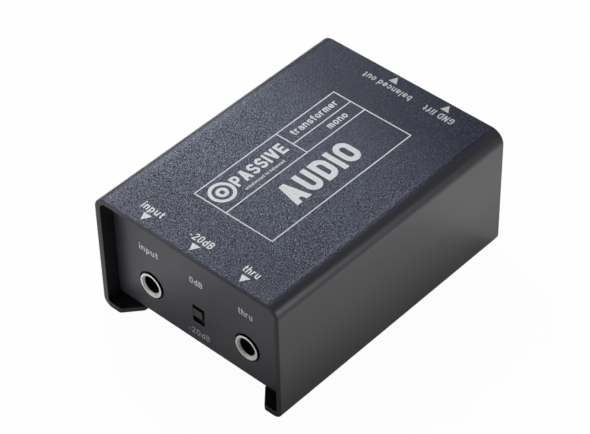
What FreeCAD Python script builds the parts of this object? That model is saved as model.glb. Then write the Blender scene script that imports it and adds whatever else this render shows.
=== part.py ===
import FreeCAD, Part
import math
import os

# Direct injection box: a small passive audio box. A folded sleeve slides over
# a U-shaped chassis tray that carries two jacks, two slide switches, an XLR
# output and a circuit board with a transformer.
# Frame: origin at the centre of the underside's outline, +Z up, the front
# panel faces -Y, +X is to the right of someone facing the front panel.
# All lengths in millimetres.

Vector = FreeCAD.Vector
AXIS_X, AXIS_Y, AXIS_Z = 0, 1, 2
OVER = 1.0              # cutters run this far past the faces they cut

# ---------------------------------------------------------------- dimensions
BOX_W = 76.0            # outer width of the sleeve, X
BOX_D = 104.0           # outer depth of the sleeve, Y
BOX_H = 46.5            # outer height of the sleeve, Z
SLEEVE_T = 2.0          # sleeve sheet thickness

RECESS = 5.0            # panels sit this far inside the sleeve's ends
FRONT_Y = -BOX_D / 2 + RECESS       # outer face of the front panel
REAR_Y = BOX_D / 2 - RECESS         # outer face of the rear panel
TRAY_T = 1.5            # chassis sheet thickness
TRAY_Z = SLEEVE_T + 0.05            # underside of the tray floor, on the flanges
FLOOR_TOP = TRAY_Z + TRAY_T

PCB_Z = 5.9             # underside of the circuit board
PCB_T = 1.6
PCB_TOP = PCB_Z + PCB_T
SEAT_Z = PCB_TOP + 0.05             # underside of parts seated on the board
TAIL_Z = PCB_Z - 1.2    # lower end of the jack, XLR and transformer pins
LEAD_Z = PCB_Z - 1.0    # lower end of the switch, resistor and capacitor leads

SCREW_R = 1.48          # shank of the cover, XLR and ground screws
SCREW_NUT_R = 1.52      # bore of the nuts on them
SCREW_CLEAR_R = 1.65    # clearance hole for the XLR and ground screws

COVER_SCREW_XY = [(x, y) for x in (-29.6, 29.6) for y in (-36.0, 36.0)]
STANDOFF_XY = ((-28.6, -12.5), (28.6, -12.5), (-28.6, 24.0), (28.6, 24.0))
STANDOFF_HOLE_R = 1.6   # in the floor and in the board
GROUND_X, GROUND_Y = -20.5, 38.0

JACKS = (("input", -20.65), ("thru", 19.85))    # name, X of the jack axis
JACK_Z = 15.5
JACK_HOLE_R = 5.1

SWITCH_Z = 15.35        # centre of both switch openings
SWITCH_OPEN_W = 4.8
SWITCH_OPEN_H = 7.0
PAD_X = -0.5            # pad switch on the front panel
LIFT_X = 16.5           # ground lift switch on the rear panel

XLR_X = -5.0            # balanced output on the rear panel
XLR_Z = 24.0
XLR_HOLE_R = 11.9
XLR_SCREW_DX = 9.5
XLR_SCREW_DZ = 12.0
XLR_SCREW_XZ = ((XLR_X - XLR_SCREW_DX, XLR_Z + XLR_SCREW_DZ),
                (XLR_X + XLR_SCREW_DX, XLR_Z - XLR_SCREW_DZ))

# (x, y, radius) of the board's lead holes, added by each part that has leads.
board_holes = []


# ------------------------------------------------------------------- helpers
def box(x_min, x_max, y_min, y_max, z_min, z_max):
    return Part.makeBox(x_max - x_min, y_max - y_min, z_max - z_min,
                        Vector(x_min, y_min, z_min))


def cyl_x(radius, x_min, x_max, y, z):
    return Part.makeCylinder(radius, x_max - x_min, Vector(x_min, y, z), Vector(1, 0, 0))


def cyl_y(radius, y_min, y_max, x, z):
    return Part.makeCylinder(radius, y_max - y_min, Vector(x, y_min, z), Vector(0, 1, 0))


def cyl_z(radius, z_min, z_max, x, y):
    return Part.makeCylinder(radius, z_max - z_min, Vector(x, y, z_min), Vector(0, 0, 1))


def cone_y(start_r, end_r, y_min, y_max, x, z):
    return Part.makeCone(start_r, end_r, y_max - y_min, Vector(x, y_min, z), Vector(0, 1, 0))


def cone_z(start_r, end_r, z_min, z_max, x, y):
    return Part.makeCone(start_r, end_r, z_max - z_min, Vector(x, y, z_min), Vector(0, 0, 1))


def prism(points, sweep):
    corners = [Vector(*point) for point in points]
    return Part.Face(Part.makePolygon(corners + [corners[0]])).extrude(Vector(*sweep))


def along(edge, axis):
    """True for a straight edge parallel to the axis."""
    if len(edge.Vertexes) != 2 or not isinstance(edge.Curve, (Part.Line, Part.LineSegment)):
        return False
    span = edge.Vertexes[1].Point - edge.Vertexes[0].Point
    span = (abs(span.x), abs(span.y), abs(span.z))
    return span[axis] > 1e-6 and sum(span) - span[axis] < 1e-6


def mid(edge):
    return (edge.Vertexes[0].Point + edge.Vertexes[1].Point) * 0.5


def in_plane(edge, axis, level):
    """True for an edge lying in the plane at this level on the axis."""
    bounds = edge.BoundBox
    low = (bounds.XMin, bounds.YMin, bounds.ZMin)[axis]
    high = (bounds.XMax, bounds.YMax, bounds.ZMax)[axis]
    return abs(low - level) < 1e-4 and abs(high - level) < 1e-4


def fillet(shape, radius, test):
    """Round the edges that pass the test; with none, the shape stays as it is."""
    edges = [edge for edge in shape.Edges if test(edge)]
    return shape.makeFillet(radius, edges) if edges else shape


def fillet_along(shape, radius, axis):
    return fillet(shape, radius, lambda edge: along(edge, axis))


def round_box(x_min, x_max, y_min, y_max, z_min, z_max, radius, axis):
    return fillet_along(box(x_min, x_max, y_min, y_max, z_min, z_max), radius, axis)


def bent_strip(points, thickness, width, x):
    """Flat strip folded along (y, z) points, centred at x."""
    strip = None
    left = x - width / 2
    for (y_a, z_a), (y_b, z_b) in zip(points, points[1:]):
        run = Vector(0, y_b - y_a, z_b - z_a)
        offset = Vector(0, -run.z / run.Length, run.y / run.Length) * (thickness / 2)
        start, end = Vector(left, y_a, z_a), Vector(left, y_b, z_b)
        outline = [start + offset, end + offset, end - offset, start - offset, start + offset]
        piece = Part.Face(Part.makePolygon(outline)).extrude(Vector(width, 0, 0))
        strip = piece if strip is None else strip.fuse(piece)
    for y, z in points[1:-1]:
        strip = strip.fuse(cyl_x(thickness / 2, left, x + width / 2, y, z))
    return strip.removeSplitter()


def round_wire(points, radius):
    """Round wire through the points, with ball corners."""
    wire = None
    path = [Vector(*point) for point in points]
    for start, end in zip(path, path[1:]):
        run = end - start
        piece = Part.makeCylinder(radius, run.Length, start, run)
        wire = piece if wire is None else wire.fuse(piece)
    for corner in path[1:-1]:
        wire = wire.fuse(Part.makeSphere(radius, corner))
    return wire.removeSplitter()


def cut_cross(screw, blade, axis, turn, place):
    """Cut a cross recess: the blade box turned about the axis, then moved to place."""
    for angle in (0, 90):
        cutter = box(*blade)
        cutter.rotate(Vector(0, 0, 0), Vector(*axis), angle + turn)
        cutter.translate(Vector(*place))
        screw = screw.cut(cutter)
    return screw


def save(name, *shapes):
    solids = [solid for shape in shapes for solid in shape.Solids]
    node = solids[0] if len(solids) == 1 else Part.makeCompound(solids)
    if not node.isValid():
        raise ValueError(name + " isn't a valid shape")
    node.exportStep("parts/" + name + ".step")


# -------------------------------------------------------------- sleeve cover
BEND_R = 4.8            # outer radius of the sleeve's upper bends
BEND_R_LOW = 3.4        # outer radius of its lower bends
FLANGE_W = 12.2         # reach of the inturned bottom flange from the side face
MITRE_X = 5.2           # flange corner mitre, across
MITRE_Y = 6.0           # flange corner mitre, along
MITRE_R = 1.5           # softened corners of the mitre
SLEEVE_HOLE_R = 1.7     # cover screw hole
SINK_R = 3.1            # its countersink
SINK_DEPTH = 1.4
END_BREAK_R = 0.25


def bent_block(half_w, half_d, z_min, z_max, top_r, low_r):
    block = box(-half_w, half_w, -half_d, half_d, z_min, z_max)
    block = fillet(block, top_r, lambda e: along(e, AXIS_Y) and mid(e).z > z_max - 0.1)
    return fillet(block, low_r, lambda e: along(e, AXIS_Y) and mid(e).z < z_min + 0.1)


def build_sleeve():
    """Folded sheet: top, two sides and two inturned flanges the box rests on."""
    half_w, half_d = BOX_W / 2, BOX_D / 2
    flange_x = half_w - FLANGE_W        # inner edge of the flanges
    sleeve = bent_block(half_w, half_d, 0, BOX_H, BEND_R, BEND_R_LOW)
    sleeve = sleeve.cut(bent_block(half_w - SLEEVE_T, half_d + OVER,
                                   SLEEVE_T, BOX_H - SLEEVE_T,
                                   BEND_R - SLEEVE_T, BEND_R_LOW - SLEEVE_T))
    sleeve = sleeve.cut(box(-flange_x, flange_x, -half_d - OVER, half_d + OVER,
                            -OVER, SLEEVE_T + 0.5))
    # The mitre's slope is carried on past the flange's edges.
    mitre_x = flange_x + MITRE_X + OVER * MITRE_X / MITRE_Y
    mitre_y = half_d - MITRE_Y - OVER * MITRE_Y / MITRE_X
    for side_x in (-1, 1):
        for side_y in (-1, 1):
            sleeve = sleeve.cut(prism([
                (side_x * (flange_x - OVER), side_y * (half_d + OVER), -OVER),
                (side_x * mitre_x, side_y * (half_d + OVER), -OVER),
                (side_x * (flange_x - OVER), side_y * mitre_y, -OVER)],
                (0, 0, SLEEVE_T + 1.5)))
    sleeve = fillet(sleeve, MITRE_R, lambda e: along(e, AXIS_Z) and mid(e).z < 1.5
                    and e.Length < SLEEVE_T + 0.01
                    and abs(mid(e).x) < flange_x + MITRE_X + 0.1
                    and (abs(abs(mid(e).x) - flange_x) < 0.05
                         or abs(abs(mid(e).y) - half_d) < 0.05))
    for x, y in COVER_SCREW_XY:
        sleeve = sleeve.cut(cyl_z(SLEEVE_HOLE_R, -OVER, SLEEVE_T + 2, x, y))
        sleeve = sleeve.cut(cone_z(SINK_R, SLEEVE_HOLE_R, 0, SINK_DEPTH, x, y))
    # A fine break on every edge of the two cut ends.
    sleeve = fillet(sleeve, END_BREAK_R, lambda e: in_plane(e, AXIS_Y, -half_d)
                    or in_plane(e, AXIS_Y, half_d))
    save("sleeve_cover", sleeve)


COVER_HEAD_R = 2.9
COVER_HEAD_Z = 0.05     # underside of the head
COVER_SHANK_Z = 1.45    # head meets shank
COVER_TIP_Z = 5.2       # shank meets tapered tip
COVER_END_Z = 5.5
COVER_TIP_R = 1.2
CROSS_HALF_L = 1.5      # cross recess of the cover and XLR screws
CROSS_HALF_W = 0.28
CROSS_DEPTH = 0.9


def build_cover_screws():
    """Four countersunk screws that come up through the flanges."""
    blade = (-CROSS_HALF_L, CROSS_HALF_L, -CROSS_HALF_W, CROSS_HALF_W, 0, CROSS_DEPTH)
    screws = []
    for x, y in COVER_SCREW_XY:
        screw = cone_z(COVER_HEAD_R, SCREW_R, COVER_HEAD_Z, COVER_SHANK_Z, x, y)
        screw = screw.fuse(cyl_z(SCREW_R, COVER_SHANK_Z, COVER_TIP_Z, x, y))
        screw = screw.fuse(cone_z(SCREW_R, COVER_TIP_R, COVER_TIP_Z, COVER_END_Z, x, y))
        turn = 20 if x > 0 else -20
        screws.append(cut_cross(screw.removeSplitter(), blade, (0, 0, 1), turn, (x, y, 0)))
    save("cover_screws", *screws)


# -------------------------------------------------------------- chassis tray
TRAY_BEND_R = 2.4       # outer radius of the tray's bends
TRAY_FLOOR_W = 69.0     # floor width, clear of the sleeve's lower bends
PANEL_GAP = 0.3         # panel to sleeve, each side
PANEL_W = BOX_W - 2 * (SLEEVE_T + PANEL_GAP)
PANEL_TOP = 44.2        # top edge of both panels
PANEL_LOW = 4.0         # lower edge of the panels outside the floor's width
PANEL_TOP_R = 2.6       # upper corners
PANEL_LOW_R = 1.0       # lower corners
OPENING_CORNER_R = 0.25
OPENING_BREAK_R = 0.2
CLINCH_HOLE_R = 2.1


def panel_side_edge(edge):
    """A panel corner edge, running through the sheet at the panel's side."""
    return (along(edge, AXIS_Y) and abs(edge.Length - TRAY_T) < 0.01
            and abs(abs(mid(edge).x) - PANEL_W / 2) < 0.05)


def small_front_opening_edge(edge):
    bounds = edge.BoundBox
    return (in_plane(edge, AXIS_Y, FRONT_Y)
            and bounds.XLength < 12 and bounds.ZLength < 12
            and 8 < bounds.ZMin and bounds.ZMax < 24
            and abs(bounds.Center.x) < 30)


def build_tray():
    """One U-shaped sheet: front panel, floor and rear panel."""
    half_floor = TRAY_FLOOR_W / 2
    tray = box(-half_floor, half_floor, FRONT_Y, REAR_Y, TRAY_Z, PANEL_TOP)
    tray = fillet(tray, TRAY_BEND_R,
                  lambda e: along(e, AXIS_X) and mid(e).z < TRAY_Z + 0.1)
    hollow = box(-half_floor - OVER, half_floor + OVER, FRONT_Y + TRAY_T,
                 REAR_Y - TRAY_T, FLOOR_TOP, PANEL_TOP + 5)
    hollow = fillet(hollow, TRAY_BEND_R - TRAY_T,
                    lambda e: along(e, AXIS_X) and mid(e).z < FLOOR_TOP + 0.1)
    tray = tray.cut(hollow)
    front = (FRONT_Y, FRONT_Y + TRAY_T)
    rear = (REAR_Y - TRAY_T, REAR_Y)
    for y_min, y_max in (front, rear):
        tray = tray.fuse(box(-PANEL_W / 2, PANEL_W / 2, y_min, y_max, PANEL_LOW, PANEL_TOP))
    tray = tray.removeSplitter()
    tray = fillet(tray, PANEL_TOP_R,
                  lambda e: panel_side_edge(e) and mid(e).z > PANEL_TOP - 0.1)
    tray = fillet(tray, PANEL_LOW_R,
                  lambda e: panel_side_edge(e) and mid(e).z < PANEL_LOW + 0.1)

    for _, x in JACKS:
        tray = tray.cut(cyl_y(JACK_HOLE_R, front[0] - OVER, front[1] + OVER, x, JACK_Z))
    for x, (y_min, y_max) in ((PAD_X, front), (LIFT_X, rear)):
        tray = tray.cut(round_box(
            x - SWITCH_OPEN_W / 2, x + SWITCH_OPEN_W / 2, y_min - OVER, y_max + OVER,
            SWITCH_Z - SWITCH_OPEN_H / 2, SWITCH_Z + SWITCH_OPEN_H / 2,
            OPENING_CORNER_R, AXIS_Y))
    tray = tray.cut(cyl_y(XLR_HOLE_R, rear[0] - OVER, rear[1] + OVER, XLR_X, XLR_Z))
    for x, z in XLR_SCREW_XZ:
        tray = tray.cut(cyl_y(SCREW_CLEAR_R, rear[0] - OVER, rear[1] + OVER, x, z))

    floor_holes = [(CLINCH_HOLE_R, x, y) for x, y in COVER_SCREW_XY]
    floor_holes += [(STANDOFF_HOLE_R, x, y) for x, y in STANDOFF_XY]
    floor_holes.append((SCREW_CLEAR_R, GROUND_X, GROUND_Y))
    for radius, x, y in floor_holes:
        tray = tray.cut(cyl_z(radius, TRAY_Z - OVER, FLOOR_TOP + OVER, x, y))
    # Paint-soft break on the outer edges of the jack and pad switch openings.
    tray = fillet(tray, OPENING_BREAK_R, small_front_opening_edge)
    save("chassis_tray", tray)


# ------------------------------------------------- clinch nuts and standoffs
CLINCH_Z = TRAY_Z + 0.1     # clinched parts stop short of the floor's underside
CLINCH_R = 2.05
CLINCH_NUT_R = 2.9
CLINCH_NUT_TOP = 5.6

STANDOFF_STEM_R = 1.55
STANDOFF_R = 2.5
STANDOFF_BORE_R = 1.28
STANDOFF_BORE_Z = TRAY_Z + 0.6

PCB_SCREW_R = 1.22
PCB_SCREW_Z = TRAY_Z + 1.2
PCB_HEAD_R = 2.3
PCB_HEAD_TOP = PCB_TOP + 1.5
PCB_HEAD_ROUND = 0.7
PCB_CROSS = (-1.2, 1.2, -0.25, 0.25, PCB_TOP + 0.7, PCB_TOP + 2)
PCB_CROSS_TURN = 33


def build_clinch_nuts():
    """Nuts in the floor that take the cover screws."""
    nuts = []
    for x, y in COVER_SCREW_XY:
        nut = cyl_z(CLINCH_R, CLINCH_Z, FLOOR_TOP, x, y)
        nut = nut.fuse(cyl_z(CLINCH_NUT_R, FLOOR_TOP, CLINCH_NUT_TOP, x, y))
        bore = cyl_z(SCREW_NUT_R, TRAY_Z - OVER, CLINCH_NUT_TOP + OVER, x, y)
        nuts.append(nut.cut(bore).removeSplitter())
    save("clinch_nuts", *nuts)


def build_standoffs():
    """Standoffs clinched in the floor that carry the circuit board."""
    standoffs = []
    for x, y in STANDOFF_XY:
        post = cyl_z(STANDOFF_STEM_R, CLINCH_Z, FLOOR_TOP, x, y)
        post = post.fuse(cyl_z(STANDOFF_R, FLOOR_TOP, PCB_Z, x, y))
        bore = cyl_z(STANDOFF_BORE_R, STANDOFF_BORE_Z, PCB_Z + OVER, x, y)
        standoffs.append(post.cut(bore).removeSplitter())
    save("pcb_standoffs", *standoffs)


def build_pcb_screws():
    screws = []
    for x, y in STANDOFF_XY:
        screw = cyl_z(PCB_SCREW_R, PCB_SCREW_Z, PCB_TOP, x, y)
        screw = screw.fuse(cyl_z(PCB_HEAD_R, PCB_TOP, PCB_HEAD_TOP, x, y))
        screw = fillet(screw, PCB_HEAD_ROUND, lambda e: in_plane(e, AXIS_Z, PCB_HEAD_TOP))
        screws.append(cut_cross(screw, PCB_CROSS, (0, 0, 1), PCB_CROSS_TURN, (x, y, 0)))
    save("pcb_screws", *screws)


# --------------------------------------------------------------------- jacks
JACK_FRONT_Y = FRONT_Y + TRAY_T + 0.1   # front of the body
JACK_REAR_Y = -16.5                     # rear of the body
JACK_HALF_W = 7.7
JACK_CAVITY_HALF_W = 6.2
JACK_CAVITY_Y = JACK_FRONT_Y + 9.0
JACK_REAR_HOLE_R = 4.0
JACK_TOP = JACK_Z + 7.0
JACK_CUT_TOP = JACK_TOP + OVER

NOSE_R = 4.5
NOSE_BORE_R = 3.3
NOSE_LEAD_R = 3.8       # mouth of the bore's tapered lead-in
NOSE_LEAD_DEPTH = 0.75
NOSE_Y = FRONT_Y - 0.5  # front of the nose, proud of the panel
NOSE_LEN = 9.5
NOSE_BREAK_R = 0.18

TIP_Y = JACK_REAR_Y - 1.4               # plane of the tip terminal
TIP_HALF_T = 0.2
TIP_HALF_W = 1.4
TIP_SLOT_HALF_T = 0.5
TIP_SLOT_HALF_W = 1.6
# Tip spring bends: (y from the terminal, z from the jack axis).
SPRING_BENDS = ((0, 6.4), (-6.6, 3.6), (-8.2, 2.55), (-9.8, 4.1))
SPRING_T = 0.35
SPRING_W = 2.6

LUG_DX = (-5.2, 5.2)
LUG_Y = JACK_FRONT_Y + 12.0


def build_jack_body(name, x):
    """Moulded body, open at the top, with a collar that fills the panel hole."""
    body = round_box(x - JACK_HALF_W, x + JACK_HALF_W, JACK_FRONT_Y, JACK_REAR_Y,
                     SEAT_Z, JACK_TOP, 0.6, AXIS_Y)
    body = body.fuse(cyl_y(JACK_HOLE_R - 0.12, FRONT_Y + 0.55, JACK_FRONT_Y + 0.5, x, JACK_Z))
    body = body.cut(box(x - JACK_CAVITY_HALF_W, x + JACK_CAVITY_HALF_W,
                        JACK_CAVITY_Y, JACK_REAR_Y - 1.6, PCB_TOP + 1.6, JACK_CUT_TOP))
    body = body.cut(cyl_y(NOSE_R + 0.02, FRONT_Y, JACK_CAVITY_Y + 0.5, x, JACK_Z))
    body = body.cut(cyl_y(JACK_REAR_HOLE_R, JACK_REAR_Y - 3, JACK_REAR_Y + OVER, x, JACK_Z))
    for offset in LUG_DX:
        body = body.cut(box(x + offset - 1.2, x + offset + 1.2, LUG_Y - 0.35, LUG_Y + 0.35,
                            PCB_TOP - OVER, PCB_TOP + 3))
    # Slot in the rear wall for the terminal, widened for its side link.
    slot_y = (TIP_Y - TIP_SLOT_HALF_T, TIP_Y + TIP_SLOT_HALF_T)
    body = body.cut(box(x - TIP_SLOT_HALF_W, x + TIP_SLOT_HALF_W, *slot_y,
                        PCB_TOP - OVER, JACK_CUT_TOP))
    body = body.cut(box(x - 5.2, x + TIP_SLOT_HALF_W, *slot_y, JACK_Z - 5.7, JACK_CUT_TOP))
    save(name + "_jack_body", body.removeSplitter())


def build_jack_nose(name, x):
    """Turned nose: the plug's sleeve contact and guide."""
    nose = cyl_y(NOSE_R, NOSE_Y, NOSE_Y + NOSE_LEN, x, JACK_Z)
    nose = nose.cut(cyl_y(NOSE_BORE_R, NOSE_Y - OVER, NOSE_Y + NOSE_LEN + OVER, x, JACK_Z))
    nose = nose.cut(cone_y(NOSE_LEAD_R, NOSE_BORE_R, NOSE_Y, NOSE_Y + NOSE_LEAD_DEPTH,
                           x, JACK_Z))
    # Only the outer rim is wide enough to pass the length test.
    nose = fillet(nose, NOSE_BREAK_R,
                  lambda e: in_plane(e, AXIS_Y, NOSE_Y) and e.BoundBox.XLength > 8.5)
    save(name + "_jack_nose", nose)


def build_tip_spring(name, x):
    """Spring rooted at the rear wall, leaning forward and down to the plug's path."""
    bends = [(TIP_Y + y, JACK_Z + z) for y, z in SPRING_BENDS]
    save(name + "_tip_spring", bent_strip(bends, SPRING_T, SPRING_W, x))


def tip_plate(x_min, x_max, z_min, z_max):
    return box(x_min, x_max, TIP_Y - TIP_HALF_T, TIP_Y + TIP_HALF_T, z_min, z_max)


def build_tip_terminal(name, x):
    """Flat terminal in the rear wall's slot, linked round the left of the rear hole."""
    left, right = x - TIP_HALF_W, x + TIP_HALF_W
    link_left = x - 5.0
    low_z, high_z = JACK_Z - 4.6, JACK_Z + 4.9      # arm faces nearest the axis
    link_low, link_high = JACK_Z - 5.5, JACK_Z + 5.8
    tail = tip_plate(x - 0.5, x + 0.5, TAIL_Z, SEAT_Z)
    terminal = tip_plate(left, right, SEAT_Z, low_z).fuse(tail)
    terminal = terminal.fuse([
        tip_plate(left, right, high_z, JACK_Z + 6.1),
        tip_plate(link_left, x - 4.5, link_low, link_high),
        tip_plate(link_left, right, link_low, low_z),
        tip_plate(link_left, right, high_z, link_high)])
    save(name + "_tip_terminal", terminal.removeSplitter())
    board_holes.append((x, TIP_Y, 0.7))


def build_jack_lugs(name, x):
    """Two flat legs, narrowed where they go down through the board."""
    lugs = []
    for offset in LUG_DX:
        lug_x = x + offset
        lug = box(lug_x - 1.1, lug_x + 1.1, LUG_Y - 0.25, LUG_Y + 0.25, SEAT_Z, PCB_TOP + 2.8)
        lug = lug.fuse(box(lug_x - 0.55, lug_x + 0.55, LUG_Y - 0.25, LUG_Y + 0.25,
                           TAIL_Z, SEAT_Z))
        lugs.append(lug.removeSplitter())
        board_holes.append((lug_x, LUG_Y, 0.75))
    save(name + "_jack_lugs", *lugs)


# ------------------------------------------------------------ slide switches
SWITCH_GAP = 0.25       # panel to switch frame
FRAME_HALF_W = 3.7
FRAME_HALF_H = 7.7
FRAME_DEPTH = 5.0
FRAME_T = 0.3
BASE_INSET = 0.35       # base inside the frame's outline
SWITCH_TRAVEL = 2.0
KNOB_W = 3.9
KNOB_H = 3.2
KNOB_PROUD = 0.4
KNOB_CLEAR = 0.15
KNOB_BREAK_R = 0.25
SHOE_HALF_W = 3.2
SHOE_HALF_H = 5.6
SWITCH_PIN_DX = (-1.9, 1.9)
SWITCH_PIN_DZ = (-4.2, 0, 4.2)
SWITCH_PIN_R = 0.38
PIN_STAGGER = 0.32      # extra reach into the box per unit of pin height


def switch_block(face, z, half_w, half_h, near, far):
    """Box centred on (x, z), from near to far inward of the switch frame's face."""
    x, face_y, inward = face
    y_min, y_max = sorted((face_y + inward * near, face_y + inward * far))
    return box(x - half_w, x + half_w, y_min, y_max, z - half_h, z + half_h)


def build_switch_frame(prefix, face):
    frame = switch_block(face, SWITCH_Z, FRAME_HALF_W, FRAME_HALF_H, 0, FRAME_DEPTH)
    frame = frame.cut(switch_block(face, SWITCH_Z, FRAME_HALF_W - FRAME_T,
                                   FRAME_HALF_H - FRAME_T, FRAME_T, FRAME_DEPTH + OVER))
    frame = frame.cut(switch_block(face, SWITCH_Z, KNOB_W / 2 + KNOB_CLEAR,
                                   (KNOB_H + SWITCH_TRAVEL) / 2 + KNOB_CLEAR, -OVER, OVER))
    save(prefix + "_switch_frame", frame)


def build_switch_base(prefix, face):
    """Base plate with six bent pins that drop through the board."""
    x, face_y, inward = face
    base = switch_block(face, SWITCH_Z, FRAME_HALF_W - BASE_INSET,
                        FRAME_HALF_H - BASE_INSET, 3.6, FRAME_DEPTH)
    bore_y = sorted((face_y, face_y + inward * 9))
    pins = []
    for offset_x in SWITCH_PIN_DX:
        for offset_z in SWITCH_PIN_DZ:
            pin_x, pin_z = x + offset_x, SWITCH_Z + offset_z
            base = base.cut(cyl_y(0.42, *bore_y, pin_x, pin_z))
            reach = 6.6 + (offset_z - SWITCH_PIN_DZ[0]) * PIN_STAGGER
            drop_y = face_y + inward * reach
            pins.append(round_wire([(pin_x, face_y + inward * 3.3, pin_z),
                                    (pin_x, drop_y, pin_z),
                                    (pin_x, drop_y, LEAD_Z)], SWITCH_PIN_R))
            board_holes.append((pin_x, drop_y, 0.5))
    save(prefix + "_switch_base", base)
    save(prefix + "_switch_pins", *pins)


def build_switch_slider(prefix, face):
    """Knob through the panel, at the top of its travel, and a shoe in the frame."""
    _, face_y, inward = face
    knob_z = SWITCH_Z + SWITCH_TRAVEL / 2
    knob_out = -(TRAY_T + SWITCH_GAP + KNOB_PROUD)
    knob_y = face_y + inward * knob_out
    knob = switch_block(face, knob_z, KNOB_W / 2, KNOB_H / 2, knob_out, 0.4)
    knob = fillet(knob, KNOB_BREAK_R, lambda e: in_plane(e, AXIS_Y, knob_y))
    shoe = switch_block(face, knob_z, SHOE_HALF_W, SHOE_HALF_H, 0.4, 2.6)
    save(prefix + "_switch_slider", knob.fuse(shoe).removeSplitter())


def build_slide_switch(prefix, x, panel_y, inward):
    """Upright two-position switch; inward is the Y sign from panel to box inside."""
    face = (x, panel_y + inward * (TRAY_T + SWITCH_GAP), inward)
    build_switch_frame(prefix, face)
    build_switch_base(prefix, face)
    build_switch_slider(prefix, face)


# ---------------------------------------------------------------- XLR output
XLR_FLANGE_W = 26.0
XLR_FLANGE_H = 31.0
XLR_FACE_Y = REAR_Y + 1.8           # outer face of the flange
XLR_BARREL_R = 11.6
XLR_BARREL_Y = REAR_Y - 18.0        # inner end of the barrel
XLR_SOCKET_R = 9.75
XLR_SOCKET_Y = XLR_BARREL_Y + 2.6   # bottom of the socket
XLR_INSERT_Y = XLR_BARREL_Y - 3.0   # inner end of the insert
XLR_INSERT_TOP = XLR_SOCKET_Y + 2.0
XLR_PIN_R = 1.2
XLR_PIN_CIRCLE = 5.75
XLR_PIN_END = XLR_FACE_Y - 3.2
XLR_PIN_ANGLES = tuple(math.radians(angle) for angle in (162.0, 18.0, -90.0))
XLR_PIN_XZ = [(XLR_X + XLR_PIN_CIRCLE * math.cos(angle),
               XLR_Z + XLR_PIN_CIRCLE * math.sin(angle)) for angle in XLR_PIN_ANGLES]
XLR_TAIL_Y = XLR_INSERT_Y - 4.0
XLR_TAIL_STEP = (0.0, 0.0, 2.0)     # extra reach of each pin's tail
XLR_CROSS_TURN = 28
XLR_NUT_FLATS = 5.5
XLR_NUT_T = 2.4


def build_xlr_shell():
    """Die-cast shell: flange on the panel's outer face, barrel behind it."""
    shell = round_box(XLR_X - XLR_FLANGE_W / 2, XLR_X + XLR_FLANGE_W / 2, REAR_Y, XLR_FACE_Y,
                      XLR_Z - XLR_FLANGE_H / 2, XLR_Z + XLR_FLANGE_H / 2, 2.5, AXIS_Y)
    shell = fillet(shell, 0.4, lambda e: in_plane(e, AXIS_Y, XLR_FACE_Y))
    shell = shell.fuse(cyl_y(XLR_BARREL_R, XLR_BARREL_Y, REAR_Y + 0.5, XLR_X, XLR_Z))
    shell = shell.fuse(cyl_y(XLR_BARREL_R - 0.4, XLR_FACE_Y - 0.2, XLR_FACE_Y + 0.7,
                             XLR_X, XLR_Z))
    shell = shell.cut(cyl_y(XLR_SOCKET_R, XLR_SOCKET_Y, XLR_FACE_Y + 2, XLR_X, XLR_Z))
    shell = shell.cut(cyl_y(XLR_SOCKET_R - 0.6, XLR_BARREL_Y - OVER, XLR_BARREL_Y + 3,
                            XLR_X, XLR_Z))
    # Groove at the top of the socket for the cable plug's latch.
    shell = shell.cut(box(XLR_X - 2.0, XLR_X + 2.0, XLR_FACE_Y - 9.0, XLR_FACE_Y + 2,
                          XLR_Z + XLR_SOCKET_R - 1.0, XLR_Z + XLR_SOCKET_R + 0.9))
    for x, z in XLR_SCREW_XZ:
        shell = shell.cut(cyl_y(SCREW_CLEAR_R, REAR_Y - OVER, XLR_FACE_Y + OVER, x, z))
        shell = shell.cut(cone_y(SCREW_CLEAR_R, 3.0, XLR_FACE_Y - 1.4, XLR_FACE_Y + 0.001,
                                 x, z))
    save("xlr_shell", shell.removeSplitter())


def build_xlr_insert():
    insert = cyl_y(XLR_SOCKET_R - 0.65, XLR_INSERT_Y, XLR_SOCKET_Y, XLR_X, XLR_Z)
    insert = insert.fuse(cyl_y(XLR_SOCKET_R - 0.1, XLR_SOCKET_Y, XLR_INSERT_TOP, XLR_X, XLR_Z))
    for x, z in XLR_PIN_XZ:
        insert = insert.cut(cyl_y(XLR_PIN_R - 0.19, XLR_INSERT_Y - OVER,
                                  XLR_INSERT_TOP + OVER, x, z))
    save("xlr_insert", insert.removeSplitter())


def build_xlr_pins():
    """Round-ended contacts with thinner stems and tails bent down to the board."""
    pins = []
    for (x, z), step in zip(XLR_PIN_XZ, XLR_TAIL_STEP):
        pin = cyl_y(XLR_PIN_R, XLR_INSERT_TOP + 0.02, XLR_PIN_END, x, z)
        pin = pin.fuse(cyl_y(XLR_PIN_R - 0.2, XLR_INSERT_Y - 0.6, XLR_INSERT_TOP + 0.4, x, z))
        pin = fillet(pin.removeSplitter(), 0.8, lambda e: in_plane(e, AXIS_Y, XLR_PIN_END))
        tail_y = XLR_TAIL_Y - step
        tail = round_wire([(x, XLR_INSERT_Y, z), (x, tail_y, z), (x, tail_y, TAIL_Z)], 0.5)
        pins.append(pin.fuse(tail).removeSplitter())
        board_holes.append((x, tail_y, 0.65))
    save("xlr_pins", *pins)


def hex_nut(flats, bore_r, y_min, y_max, x, z):
    corner_r = flats / math.sqrt(3)
    angles = [math.radians(60 * i + 30) for i in range(6)]
    corners = [(x + corner_r * math.cos(angle), y_min, z + corner_r * math.sin(angle))
               for angle in angles]
    nut = prism(corners, (0, y_max - y_min, 0))
    return nut.cut(cyl_y(bore_r, y_min - OVER, y_max + OVER, x, z))


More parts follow.
